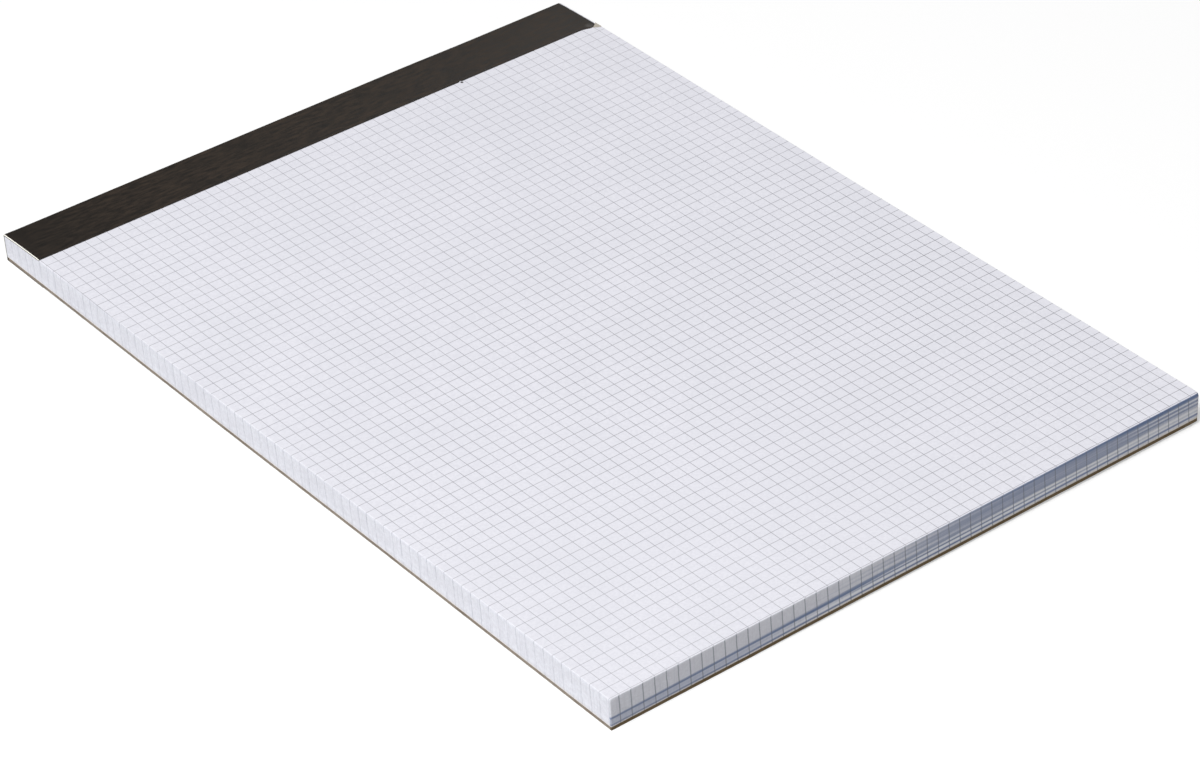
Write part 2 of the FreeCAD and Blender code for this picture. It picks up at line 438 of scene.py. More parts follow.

# Its colour: cloudy grey-brown with pale fibres, dragged by the blade. Along the foot edge, which
# faces away from the lamp, it is painted darker and browner: painted shade.
material, tree, shader = bare_material("pressed_chipboard")
place, (_, place_y, _) = places_in_mm(tree)
layered = scaled(tree, place, BOARD_LAYERS)
grain = use(tree, fibre_grain, Place=layered, Cloud_Scale=BOARD_CLOUDS, Fibre_Scale=BOARD_FIBRES)
marks = use(tree, blade_marks, Place=place, Fineness=BOARD_BLADE)[0]
tone = mixed(tree, grain["Cloud"], BOARD_DARK, BOARD_MID)
tone = mixed(tree, product(tree, grain["Fleck"], FLECK_SHARE), tone, BOARD_PALE)
tone = mixed(tree, ramp(tree, marks, 0.52, 0.72, 0.0, BLADE_SHARE), tone, BOARD_DARK)
# Painted shade: the board's foot edge is darkened in its colour, not by the lamps.
edge_ends = [board_low[1] + deep for deep in FOOT_SHADE_DEPTH]
at_foot = ramp(tree, place_y, *edge_ends, FOOT_SHADE_SHARE, 0.0)
tone = mixed(tree, at_foot, tone, BOARD_FOOT_SHADE)
feed(tree, tone, shader.inputs["Base Color"])
feed(tree, ramp(tree, grain["Height"], 0.2, 0.8, *BOARD_ROUGHNESS), shader.inputs["Roughness"])
shader.inputs["Specular IOR Level"].default_value = BOARD_GLOSS
rough = maths(tree, "ADD", grain["Height"], product(tree, marks, BLADE_RELIEF))
bump = node(tree, "Bump", inputs={**BOARD_RELIEF, "Height": rough})
feed(tree, bump.outputs[0], shader.inputs["Normal"])
board.data.materials.append(material)
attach(board, "root")
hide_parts("backing_board")

# Sheets: about a hundred leaves of smooth white paper, printed with small squares, cut in one
# block and dragged down a little along the edges of the top sheet by the blade. The staples
# draw the head together, so that the top slopes down towards it.
SHEET_COUNT = 100
SHEET_STEP = 2.6
SHEET_CORNER = 1.3
SHEET_SQUARENESS = 0.85
HEAD_TAPER = 0.5
HEAD_PRESS = 0.68
HEAD_PRESS_RUN = 30.0
TOP_CLEARANCE = 0.005
CORNER_DRAG_DEPTH = 1.4
FOLD_ROUND = 0.20
WALL_STARTS = 0.22
FLAT_RING = 0.15
SHEET_DRIFT = 0.05
DRIFT_STARTS = 0.02
DRIFT_SEEDS = (7, 100)
DRIFT_LENGTH = 70.0
DRIFT_ALONG = 0.35
DRIFT_OWN = 0.25
DRIFT_LAYERS = 0.4
LAYER_SPREAD = 0.5
LAYER_KEPT = 0.75
TOP_WAVE = 0.0175
TOP_WAVE_SEED = 3
TOP_WAVE_LENGTH = 90.0
TOP_WAVE_DROP = 1.2
TOP_WAVE_FADE = 15.0
UNDER_TAPE = 126.0
HOLLOW = 0.34
HOLLOW_REACH = 118.0
TOP_LIFT = 0.32
TOP_LIFT_RUN = (0.0, 108.0)
LEAN_RUN = 30.0
LEAN_TOP = 0.38
LEAN_BOTTOM = 0.28
LEAN_END = 0.20
LEAN_END_RUN = 7.0
LEAN_FULL_TO = 40.0
LEAN_GONE_AT = 72.0
SQUARE_PITCH = (4.029, 4.034)
FIRST_LINE = (-104.8, 0.6)
LINE_LEAN = 0.0041
LINE_BOW = 0.80
LINE_BOW_LENGTH = 320.0
LINE_HALF_WIDTH = 0.085
LINE_BLUR = 0.06
LINE_ENDS_SIDE = {"half_width": 0.13, "blur": 0.18}
LINE_ENDS_FOOT = {"half_width": 0.16, "blur": 0.12}
EDGE_BAND = 0.6
PAPER = (0.850, 0.847, 0.912, 1)
# Painted light: the cut sides' colour is lighter than the top sheet's and the foot's, for the lamp
# falling on them.
PAPER_SIDE_LIT = (0.920, 0.932, 1.0, 1)
PAPER_FOOT = (0.840, 0.850, 0.917, 1)
PAPER_SHADE = (0.74, 0.755, 0.83, 1)
PAPER_BRIGHT = (0.96, 0.97, 1.0, 1)
PAPER_CREAM = (0.86, 0.80, 0.74, 1)
PAPER_CLOUD = (0.77, 0.775, 0.835, 1)
PAPER_TOOTH = (0.745, 0.745, 0.81, 1)
PRINT_INK = (0.20, 0.20, 0.225, 1)
EDGE_INK = (0.205, 0.225, 0.285, 1)
STAIN_BLUE = (0.145, 0.215, 0.400, 1)
PAPER_ROUGHNESS = (0.58, 0.72)
PAPER_GLOSS = 0.25
PAPER_RELIEF = {"Strength": 0.35, "Distance": 0.06 * MM}

pages_low, pages_high = in_mm("page_block")
foot_y, head_y = pages_low[1], pages_high[1]
slope = math.atan2(HEAD_TAPER, head_y - HEAD_PRESS_RUN - foot_y)
press_radius = (HEAD_PRESS_RUN ** 2 + HEAD_PRESS ** 2) / (2 * HEAD_PRESS)
press_y = head_y - HEAD_PRESS_RUN - press_radius * math.sin(slope)
press_z = pages_high[2] - HEAD_TAPER - press_radius * math.cos(slope)


def top_height(y):
    """Height of the top sheet: an even slope, then one long arc over the pressed head."""
    y = np.asarray(y, float)
    sloping = pages_high[2] - (y - foot_y) * math.tan(slope)
    pressed = press_z + np.sqrt(press_radius ** 2 - (np.maximum(y, press_y) - press_y) ** 2)
    return np.where(y <= head_y - HEAD_PRESS_RUN, sloping, pressed)


def hollow(x, y):
    """How far the sheets lie hollow between the foot and the head, less what the board lifts
    at the right foot corner."""
    lifted = TOP_LIFT * eased(x, *TOP_LIFT_RUN) * eased(y, SAG_GONE_AT, SAG_FULL_TO)
    return HOLLOW * np.clip(1 - (y / HOLLOW_REACH) ** 2, 0, 1) ** 2 - lifted


def overhang(x, y, z):
    """How far the bound head leans out, most at the top of its left end."""
    grip = np.clip((y - head_y + LEAN_RUN) / LEAN_RUN, 0, 1) ** 2
    share = eased(x, LEAN_GONE_AT, LEAN_FULL_TO)
    level = np.clip(z / pages_high[2], 0, 1)
    at_end = LEAN_END * np.clip(1 - (x - pages_low[0]) / LEAN_END_RUN, 0, 1) ** 2
    return grip * (share * (LEAN_BOTTOM + (LEAN_TOP - LEAN_BOTTOM) * level) + at_end * level)


ring_places, ring_outward, to_square = outline(pages_low, pages_high, SHEET_STEP, SHEET_CORNER)
at_head = (ring_places[:, 1] > 0)[:, None]
count = len(ring_places)
ring_hollow = hollow(ring_places[:, 0], ring_places[:, 1])
ring_top = top_height(ring_places[:, 1]) - ring_hollow - TOP_CLEARANCE
ring_bottom = pages_low[2] - sag(ring_places[:, 0], ring_places[:, 1])
rng = np.random.default_rng(DRIFT_SEEDS[0])
sheet_vertices, depths, walls = [], [], []
layer_drift = 0.0
for sheet in range(SHEET_COUNT + 1):
    layer_drift = LAYER_KEPT * layer_drift + rng.normal(0, LAYER_SPREAD)
    share = sheet / SHEET_COUNT
    height = ring_bottom + (ring_top - ring_bottom) * share
    below = ring_top - height
    dip = np.clip(FOLD_ROUND - below, 0, FOLD_ROUND)
    rounded = FOLD_ROUND - np.sqrt(FOLD_ROUND ** 2 - dip ** 2)
    drift = smooth_noise(ring_places, DRIFT_SEEDS[1] + sheet, DRIFT_LENGTH) * DRIFT_ALONG
    drift = drift + rng.normal(0, DRIFT_OWN) + layer_drift * DRIFT_LAYERS
    inward = rounded + SHEET_DRIFT * np.clip(1 + drift, 0, 2) * (below > DRIFT_STARTS)
    dragged = 1 - np.clip(below / CORNER_DRAG_DEPTH, 0, 1)[:, None]
    square = np.where(at_head, 1.0, SHEET_SQUARENESS * np.sqrt(1 - dragged ** 2))
    plan = ring_places + to_square * square - ring_outward * inward[:, None]
    plan[:, 1] += overhang(plan[:, 0], plan[:, 1], height)
    plan[:, 0] -= left_lean(plan[:, 0], plan[:, 1], height)
    sheet_vertices.extend(np.column_stack([plan, height]).tolist())
    depths.extend([1 - share] * count)
    walls.extend(np.clip(below / WALL_STARTS, 0, 1).tolist())
# One more ring on the top sheet, just inside its edge, keeps the sheet's shading flat.
plan = plan - ring_outward * FLAT_RING
sheet_vertices.extend(np.column_stack([plan, ring_top]).tolist())
depths.extend([0.0] * count)
walls.extend([0.0] * count)
sheet_faces = wall_faces(SHEET_COUNT + 2, count)
for ring_start in (0, (SHEET_COUNT + 1) * count):
    flat, faces = grid_cap(pages_low, pages_high, SHEET_STEP, SHEET_CORNER, ring_start,
                           len(sheet_vertices))
    if ring_start:
        fade = np.clip((UNDER_TAPE - flat[:, 1]) / TOP_WAVE_FADE, 0, 1)
        wave = smooth_noise(flat, TOP_WAVE_SEED, TOP_WAVE_LENGTH) - TOP_WAVE_DROP
        level = top_height(flat[:, 1]) - hollow(flat[:, 0], flat[:, 1]) - TOP_CLEARANCE
        level = level + wave * TOP_WAVE * fade
    else:
        level = pages_low[2] - sag(flat[:, 0], flat[:, 1])
    flat[:, 1] += overhang(flat[:, 0], flat[:, 1], level)
    flat[:, 0] -= left_lean(flat[:, 0], flat[:, 1], level)
    sheet_vertices.extend(np.column_stack([flat, level]).tolist())
    sheet_faces.extend(faces if ring_start else flipped(faces))
    depths.extend([0.0 if ring_start else 1.0] * len(flat))
    walls.extend([0.0] * len(flat))
pages = new_piece("ruled_sheets", sheet_vertices, sheet_faces)

# Depth is a share of the block's height below the top sheet, and wall is 1 on the cut edges.
for name, values in (("depth", depths), ("wall", walls)):
    layer = pages.data.attributes.new(name, "FLOAT", "POINT")
    layer.data.foreach_set("value", values)

# Printed squares: fine grey-blue lines both ways, uneven in ink.
printed_squares, taken, given = group(
    "printed_squares", [("Place", "Vector", None)],
    [("Long Lines", "Float"), ("Cross Lines", "Float")])
tree = printed_squares
across, upwards, _ = node(tree, "SeparateXYZ", taken.outputs["Place"]).outputs


def line_mask(tree, along, pitch, half_width, blur):
    """1 on lines one pitch apart and 0 between them."""
    phase = maths(tree, "FRACT", maths(tree, "ADD", maths(tree, "DIVIDE", along, pitch), 0.5))
    away = product(tree, maths(tree, "ABSOLUTE", less(tree, phase, 0.5)), pitch)
    return ramp(tree, less(tree, away, half_width), -blur, blur, 1.0, 0.0)


from_foot = less(tree, upwards, foot_y)
bowed = maths(tree, "SINE", product(tree, from_foot, math.pi / LINE_BOW_LENGTH))
leaning = maths(tree, "MULTIPLY_ADD", from_foot, -LINE_LEAN, across)
leaning = maths(tree, "MULTIPLY_ADD", bowed, LINE_BOW, leaning)
from_first = less(tree, leaning, FIRST_LINE[0])
long_lines = line_mask(tree, from_first, SQUARE_PITCH[0], LINE_HALF_WIDTH, LINE_BLUR)
from_first = less(tree, upwards, foot_y + FIRST_LINE[1])
cross_lines = line_mask(tree, from_first, SQUARE_PITCH[1], LINE_HALF_WIDTH, LINE_BLUR)
ink = noise(tree, taken.outputs["Place"], 0.12, 4.0, 0.6)
ink = ramp(tree, ink, 0.3, 0.65, 0.80, 1.0)
feed(tree, product(tree, long_lines, ink), given.inputs["Long Lines"])
feed(tree, product(tree, cross_lines, ink), given.inputs["Cross Lines"])

# One band of ink along the cut foot, where the blade met a printed line in some sheets. Level
# is a share of the block's height below the top sheet, at the left and right end of the band.
ink_band, taken, given = group(
    "ink_band",
    [("Level", "Float", 0.0), ("Along", "Float", 0.0),
     ("Left Level", "Float", 0.5), ("Right Level", "Float", 0.5),
     ("Half Height", "Float", 0.03), ("Softness", "Float", 0.02),
     ("Begins", "Float", -0.1), ("Full", "Float", 0.0),
     ("Fades", "Float", 1.0), ("Gone", "Float", 1.1), ("Strength", "Float", 1.0)],
    [("Ink", "Float")])
tree = ink_band
band = taken.outputs
levels = (band["Left Level"], band["Right Level"])
middle = node(tree, "MapRange", band["Along"], 0.0, 1.0, *levels).outputs[0]
away = maths(tree, "ABSOLUTE", less(tree, band["Level"], middle))
outside = less(tree, away, band["Half Height"])
inner = product(tree, band["Softness"], -1.0)
within = ramp(tree, outside, inner, band["Softness"], 1.0, 0.0)
begun = ramp(tree, band["Along"], band["Begins"], band["Full"])
fades = ramp(tree, band["Along"], band["Fades"], band["Gone"], 1.0, 0.0)
feed(tree, product(tree, within, begun, fades, band["Strength"]), given.inputs["Ink"])

# The broad stain begins and ends at other places along the foot in each layer of sheets: pairs
# of a share of the block's depth and a share of its width. Its lower limit changes along the
# foot: pairs of a share of the width and a share of the depth.
STAIN_BEGINS = (
    (0.0, 0.50), (0.05, 0.54), (0.13, 0.58), (0.20, 0.445), (0.27, 0.52), (0.35, 0.43),
    (0.44, 0.58), (0.49, 0.49), (0.53, 0.36), (0.58, 0.25), (0.625, 0.12), (0.66, -0.02),
    (0.69, -0.16), (1.0, -0.30))
STAIN_ENDS = (
    (0.0, 1.25), (0.13, 1.25), (0.17, 1.00), (0.22, 0.885), (0.26, 0.98), (0.30, 1.25),
    (0.33, 1.00), (0.38, 0.885), (0.42, 1.00), (0.455, 1.25), (0.485, 0.97), (0.52, 0.89),
    (1.0, 0.87))
STAIN_FLOOR = (
    (0.0, 0.73), (0.12, 0.715), (0.21, 0.69), (0.375, 0.68), (0.45, 0.645), (0.53, 0.615),
    (0.60, 0.59), (0.69, 0.578), (0.85, 0.583), (0.92, 0.56), (1.0, 0.54))
# Single bands, dark ones and clean ones, each with the inputs of the group in this order.
BAND_INPUTS = ("Left_Level", "Right_Level", "Half_Height", "Softness", "Begins", "Full", "Fades",
               "Gone", "Strength")
FOOT_BANDS = (
    (0.805, 0.765, 0.090, 0.060, -0.3, -0.1, 0.20, 0.38, 0.36),
    (0.935, 0.828, 0.034, 0.024, -0.9, 0.45, 1.10, 1.20, 0.95),
    (0.717, 0.703, 0.024, 0.024, 0.34, 0.46, 0.62, 0.90, 0.92),
    (0.712, 0.703, 0.020, 0.024, 0.50, 0.60, 1.10, 1.20, 0.20),
    (0.030, 0.065, 0.050, 0.030, 0.40, 0.90, 1.10, 1.20, 1.00),
    (0.105, 0.105, 0.032, 0.030, 0.82, 0.92, 1.10, 1.20, 0.95),
    (0.295, 0.290, 0.018, 0.024, 0.82, 0.92, 1.10, 1.20, 0.60),
    (0.430, 0.425, 0.018, 0.024, 0.82, 0.92, 1.10, 1.20, 0.60),
)
PALE_BANDS = (
    (0.830, 0.752, 0.018, 0.030, 0.15, 0.38, 1.10, 1.20, 0.95),
    (0.680, 0.618, 0.022, 0.026, 0.56, 0.72, 1.10, 1.20, 1.00),
    (0.985, 0.925, 0.008, 0.022, 0.20, 0.60, 1.10, 1.20, 0.75),
    (0.215, 0.210, 0.016, 0.026, 0.80, 0.94, 1.10, 1.20, 0.70),
    (0.365, 0.355, 0.016, 0.026, 0.80, 0.94, 1.10, 1.20, 0.70),
)


def course(tree, value, shape, low=-0.5, high=1.5):
    """Smooth course through the pairs of a shape, as a curve node within its bounds."""
    curve = node(tree, "FloatCurve", inputs={"Value": value})
    line = curve.mapping.curves[0]
    for index, (place, level) in enumerate(shape):
        level = (level - low) / (high - low)
        if index in (0, len(shape) - 1):
            line.points[-1 if index else 0].location = (place, level)
        else:
            line.points.new(place, level)
    curve.mapping.update()
    return maths(tree, "MULTIPLY_ADD", curve.outputs[0], high - low, low)


# Paper's colour. At the foot, along is a share of the width from the left.
material, tree, shader = bare_material("ruled_paper")
place, (place_x, place_y, _) = places_in_mm(tree)
depth = node(tree, "Attribute", attribute_name="depth").outputs["Fac"]
wall = node(tree, "Attribute", attribute_name="wall").outputs["Fac"]
grain = use(tree, fibre_grain, Place=place, Cloud_Scale=0.03, Fibre_Scale=2.4)
marks = use(tree, blade_marks, Place=place, Fineness=2.2)[0]
squares = use(tree, printed_squares, Place=place)

half_wide = pages_high[0]
on_side = maths(tree, "GREATER_THAN", maths(tree, "ABSOLUTE", place_x), half_wide - EDGE_BAND)
at_foot = maths(tree, "LESS_THAN", place_y, foot_y + EDGE_BAND)
along = maths(tree, "DIVIDE", maths(tree, "ADD", place_x, half_wide), half_wide * 2)

# Ends of the printed lines on the cut edges: each sheet's lies a little off its neighbour's.
# They wobble more below the top sheet, lean with depth and fade in patches.
sheet_number = maths(tree, "FLOOR", product(tree, depth, float(SHEET_COUNT)))
jog = node(tree, "TexWhiteNoise", inputs={"W": sheet_number}, noise_dimensions="1D").outputs[0]
jog = product(tree, less(tree, jog, 0.5), 0.16)
squeezed = [product(tree, place_x, 0.11), product(tree, place_y, 0.11), product(tree, depth, 2.2)]
squeezed = node(tree, "CombineXYZ", *squeezed).outputs[0]
sway = product(tree, less(tree, noise(tree, squeezed, 1.0, 2.0), 0.5), 0.9)
below_top = maths(tree, "MINIMUM", product(tree, depth, 4.0), 1.0)
wobble = product(tree, maths(tree, "ADD", jog, sway), below_top)
patchy = ramp(tree, noise(tree, squeezed, 2.3, 2.0), 0.3, 0.7, 0.35, 1.0)

side_run = less(tree, place_y, foot_y + FIRST_LINE[1])
side_run = maths(tree, "ADD", side_run, product(tree, depth, 0.45))
side_run = maths(tree, "ADD", side_run, wobble)
side_ends = line_mask(tree, side_run, SQUARE_PITCH[1], **LINE_ENDS_SIDE)
side_ends = product(tree, side_ends, patchy, ramp(tree, depth, 0.0, 0.45, 0.62, 0.40))

foot_lean = product(tree, depth, maths(tree, "MULTIPLY_ADD", along, -0.4, -0.4))
foot_shift = maths(tree, "MULTIPLY_ADD", product(tree, along, along), 0.75, 0.30)
foot_shift = maths(tree, "ADD", foot_lean, foot_shift)
foot_run = maths(tree, "ADD", less(tree, place_x, FIRST_LINE[0]), foot_shift)
foot_run = maths(tree, "ADD", foot_run, product(tree, wobble, 0.35))
foot_ends = line_mask(tree, foot_run, SQUARE_PITCH[0], **LINE_ENDS_FOOT)
foot_ends = product(tree, foot_ends, 0.72)

ends = maths(tree, "ADD", product(tree, side_ends, on_side),
             product(tree, foot_ends, less(tree, 1.0, on_side)))
ends = product(tree, ends, wall)

# Stain along the foot, streaked sheet by sheet.
streaked = (product(tree, place_x, 0.010), 0.0, product(tree, depth, 26.0))
streaked = node(tree, "CombineXYZ", *streaked).outputs[0]
sheets = noise(tree, streaked, 1.0, 3.0, 0.7)
off_level = less(tree, sheets, 0.5)
level = maths(tree, "MULTIPLY_ADD", off_level, 0.02, depth)
begun = less(tree, along, course(tree, level, STAIN_BEGINS))
begun = ramp(tree, maths(tree, "MULTIPLY_ADD", off_level, -0.16, begun), -0.14, 0.14)
ended = less(tree, course(tree, level, STAIN_ENDS), along)
ended = ramp(tree, ended, -0.04, 0.04, 0.45, 1.0)
held = less(tree, course(tree, along, STAIN_FLOOR), level)
held = ramp(tree, maths(tree, "MULTIPLY_ADD", off_level, 0.06, held), -0.025, 0.025)
broad = product(tree, begun, ended, held)
darker = product(tree, ramp(tree, level, 0.50, 0.60, 0.0, 0.27),
                 ramp(tree, along, 0.0, 0.25, 0.75, 1.0), ramp(tree, along, 0.36, 0.55, 1.0, 0.0))
broad = product(tree, broad, maths(tree, "ADD", darker, 0.64))


def free_of(tree, share, bands):
    """Share left free once each band has covered its own part of the foot."""
    for band in bands:
        named = dict(zip(BAND_INPUTS, band))
        covered = use(tree, ink_band, Level=level, Along=along, **named)[0]
        share = product(tree, share, less(tree, 1.0, covered))
    return share


stain = less(tree, 1.0, free_of(tree, less(tree, 1.0, broad), FOOT_BANDS))
streaky = product(tree, ramp(tree, along, 0.30, 0.80), ramp(tree, depth, 0.10, 0.20))
streaky = maths(tree, "MULTIPLY_ADD", streaky, -0.16, 0.90)
stain = product(tree, stain, ramp(tree, sheets, 0.38, 0.60, 1.06, streaky))
unpaled = free_of(tree, 1.0, PALE_BANDS)
foot_wall = product(tree, at_foot, wall)
stain = product(tree, stain, unpaled, foot_wall)
bright = product(tree, less(tree, 1.0, unpaled), foot_wall)
cream = product(tree, ramp(tree, depth, 0.925, 0.965), wall, ramp(tree, along, 0.0, 0.5, 0.5, 1.0))

# The print on the top sheet is uneven: boldest on the right, in the half towards the foot.
printed = maths(tree, "MAXIMUM", squares["Long Lines"], squares["Cross Lines"])
heavy = product(tree, along, ramp(tree, place_y, -150.0, 150.0, 1.0, -0.35))
heavy = maths(tree, "MULTIPLY_ADD", heavy, 0.37, 0.62)
heavy = product(tree, heavy, ramp(tree, place_y, -140.0, -30.0, 1.0, 1.28))
printed = product(tree, printed, heavy, less(tree, 1.0, wall))

# Paper, then the print, the stain and the ends of the lines over it.
# Painted light: the cut sides are painted lighter than the cut foot of the same paper.
edge_tone = mixed(tree, at_foot, PAPER_SIDE_LIT, PAPER_FOOT)
edge_tone = mixed(tree, ramp(tree, marks, 0.48, 0.72), edge_tone, PAPER_SHADE)
sheet_tone = mixed(tree, wall, PAPER, edge_tone)
paper = mixed(tree, product(tree, grain["Cloud"], 0.4), sheet_tone, PAPER_CLOUD)
tooth = noise(tree, place, 1.05, 3.0, 0.75)
paper = mixed(tree, ramp(tree, tooth, 0.36, 0.64, 0.0, 0.60), paper, PAPER_TOOTH)
paper = mixed(tree, printed, paper, PRINT_INK)
paper = mixed(tree, cream, paper, PAPER_CREAM)
paper = mixed(tree, bright, paper, PAPER_BRIGHT)
paper = mixed(tree, stain, paper, STAIN_BLUE)
paper = mixed(tree, ends, paper, EDGE_INK)
feed(tree, paper, shader.inputs["Base Color"])
feed(tree, ramp(tree, grain["Height"], 0.2, 0.8, *PAPER_ROUGHNESS), shader.inputs["Roughness"])
shader.inputs["Specular IOR Level"].default_value = PAPER_GLOSS
relief = maths(tree, "ADD", product(tree, grain["Height"], 0.25), product(tree, marks, wall, 1.2))
relief = maths(tree, "ADD", relief, product(tree, sheets, wall, 0.5))
bump = node(tree, "Bump", inputs={**PAPER_RELIEF, "Height": relief})
feed(tree, bump.outputs[0], shader.inputs["Normal"])
pages.data.materials.append(material)
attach(pages, "root")
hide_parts("page_block")

# Staples: four of bright flattened wire, driven through the head from above and clinched
# under the board. The tape hides them.
WIRE_TONE = (0.62, 0.62, 0.60, 1)
WIRE_SCRATCH = (0.42, 0.42, 0.41, 1)
WIRE_ROUGHNESS = (0.28, 0.48)

material, tree, shader = bare_material("drawn_wire")
place, _ = places_in_mm(tree)
scratches = noise(tree, scaled(tree, place, (0.6, 5.0, 0.6)), 1.6, 3.0, 0.7)
tone = mixed(tree, ramp(tree, scratches, 0.4, 0.7), WIRE_TONE, WIRE_SCRATCH)
feed(tree, tone, shader.inputs["Base Color"])
feed(tree, ramp(tree, scratches, 0.3, 0.7, *WIRE_ROUGHNESS), shader.inputs["Roughness"])
shader.inputs["Metallic"].default_value = 1.0
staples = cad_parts["staples"]
staples.data.materials.clear()
staples.data.materials.append(material)

# Binding tape: one strip of thick paper with a black face, folded over the head and glued to
# the sheets and the board. The blade leaves its pale core bare along the cut ends. Its front
# edge has a nick, and its right-hand corner is pulled forward and torn.
TAPE_THICKNESS = 0.28
FRONT_THINNED = (0.72, 0.93)
TAPE_FOLD = 0.2
TAPE_STEP = 1.2
TAPE_CLEARANCE = 0.004
LEFT_END_PROUD = 0.14
RIGHT_END_SHORT = 0.58
CUT_SLANT = 0.36
SHADOW_LINE_SHARE = 0.27
FRONT_FLAP = 19.8
BACK_FLAP = 20.2
SPINE_STOPS = 0.05
FRONT_WAVER = 0.035
WAVER_SEED = 21
WAVER_LENGTH = 26.0
NICK = {"middle": 51.9, "half_width": 0.6, "depth": 0.45}
PULLED = {"from_right": 7.0, "run": 3.5, "reach": 0.9}
TORN = {"from_right": 2.4, "along_side": 1.0}
RIGHT_COLUMNS = (7.0, 5.8, 4.8, 4.0, 3.5, 2.9, 2.4, 1.8, 0.9)
SCRAP = ((51.75, 128.5), (52.3, 128.65), (52.1, 129.15), (51.45, 129.05))
SCRAP_HEIGHTS = (0.012, 0.20)
TONGUE = ((105.25, 128.6), (105.9, 128.05), (106.7, 127.55), (107.45, 127.2), (107.85, 127.25),
          (107.85, 130.55), (106.75, 129.65), (106.1, 129.15))
TONGUE_HEIGHTS = (0.012, 0.12)
TAPE_BLACK = (0.0070, 0.0052, 0.0038, 1)
TAPE_DARK = (0.0110, 0.0078, 0.0052, 1)
TAPE_BROWN = (0.0480, 0.0315, 0.0200, 1)
TAPE_CORE = (1.0, 0.99, 0.92, 1)
TAPE_WORN = (0.085, 0.078, 0.072, 1)
WORN_PATCH = (104.9, 130.0, 0.0)
TAPE_CORE_DARK = (0.50, 0.46, 0.40, 1)
SHADOW_LINE_DARK = (0.05, 0.05, 0.035, 1)
SHADOW_LINE_PALE = (0.12, 0.12, 0.09, 1)
TAPE_STREAKS = (0.22, 1.0, 1.0)
PAINTED_SHADE_LEFT_END = (-110.0, -60.0, 0.62, 0.25)
TAPE_ROUGHNESS = (0.42, 0.58)
TAPE_GLOSS = 0.36
TAPE_RELIEF = {"Strength": 0.25, "Distance": 0.05 * MM}
CORE_ROUGHNESS = (0.80, 0.95)
CORE_GLOSS = 0.2
CORE_RELIEF = {"Strength": 0.5, "Distance": 0.05 * MM}
SHADOW_LINE_ROUGHNESS = (0.45, 0.70)

tape_low, tape_high = in_mm("binding_tape")
fold_y = head_y - TAPE_FOLD
fold_z = press_z + math.sqrt((press_radius - TAPE_FOLD) ** 2 - (fold_y - press_y) ** 2)
leave = math.atan2(fold_z - press_z, fold_y - press_y)


def front_edge(x):
    """Place of the front edge along the strip, with its waver, nick and pulled corner."""
    waver = smooth_noise(np.array([[x, 0.0]]), WAVER_SEED, WAVER_LENGTH)[0]
    place = tape_high[1] - FRONT_FLAP + FRONT_WAVER * waver
    into_nick = 1 - abs(x - NICK["middle"]) / NICK["half_width"]
    if into_nick > 0:
        place += NICK["depth"] * into_nick
    from_right = tape_high[0] - x
    if from_right < PULLED["from_right"]:
        pull = min(1.0, (PULLED["from_right"] - from_right) / PULLED["run"])
        place -= PULLED["reach"] * pull ** 1.5
    if from_right < TORN["from_right"]:
        torn = 1 - from_right / TORN["from_right"]
        place += (PULLED["reach"] + TORN["along_side"]) * torn
    return place


def strip_path(edge_y):
    """Side view of the strip's inner face as (y, z, outward y, outward z), front to back."""
    path = []
    for share in np.concatenate([[0.0, 0.012, 0.03, 0.06], np.linspace(0.12, 1.0, 12)]):
        y = edge_y + (fold_y - edge_y) * share
        z = float(top_height(y))
        if y > head_y - HEAD_PRESS_RUN:
            out = np.array([y - press_y, z - press_z]) / press_radius
        else:
            out = np.array([math.sin(slope), math.cos(slope)])
        path.append((y, z, out[0], out[1]))
    path.pop()
    for angle in np.linspace(leave, 0.0, 6):
        out_y, out_z = math.cos(angle), math.sin(angle)
        path.append((fold_y + TAPE_FOLD * out_y, fold_z + TAPE_FOLD * out_z, out_y, out_z))
    for z in np.linspace(fold_z, board_low[2] + SPINE_STOPS, 7)[1:]:
        path.append((head_y, z, 1.0, 0.0))
    for angle in np.linspace(0.0, -math.pi / 2, 5):
        path.append((head_y, board_low[2], math.cos(angle), math.sin(angle)))
    for y in np.linspace(head_y, tape_high[1] - BACK_FLAP, 10)[1:]:
        path.append((y, board_low[2], 0.0, -1.0))
    return np.array(path)


special = [NICK["middle"] + NICK["half_width"] * t for t in (-1, -0.5, 0, 0.5, 1)]
special += [tape_high[0] - from_right for from_right in RIGHT_COLUMNS]
right_end = tape_high[0] - RIGHT_END_SHORT
columns = sorted(set(stops(tape_low[0], right_end, TAPE_STEP).tolist() + special))
tape_vertices = []
for x in columns:
    path = strip_path(front_edge(x))
    proud = LEFT_END_PROUD if x == columns[0] else 0.0
    slanting = CUT_SLANT if x in (columns[0], columns[-1]) else 0.0
    inner = np.full(len(path), TAPE_CLEARANCE)
    outer = np.full(len(path), TAPE_THICKNESS)
    outer[:2] *= FRONT_THINNED
    for away, slanted in ((inner, 0.0), (outer, slanting if x < 0 else -slanting)):
        for (y, z, out_y, out_z), thick in zip(path, away):
            end_x = x - proud * max(0.0, out_z) + slanted * abs(out_z)
            end_x -= float(left_lean(x, y, z))
            leaning = float(overhang(x, y, z))
            tape_vertices.append((end_x, y + leaning + out_y * thick, z + out_z * thick))
BLACK_FACE, PALE_CORE, SHADOW_LINE = 0, 1, 2
tape_faces, face_kinds = [], []


def add_face(kind, *corners, flip=False):
    """One face of the tape, and which of its three materials it has."""
    tape_faces.append(corners[::-1] if flip else corners)
    face_kinds.append(kind)


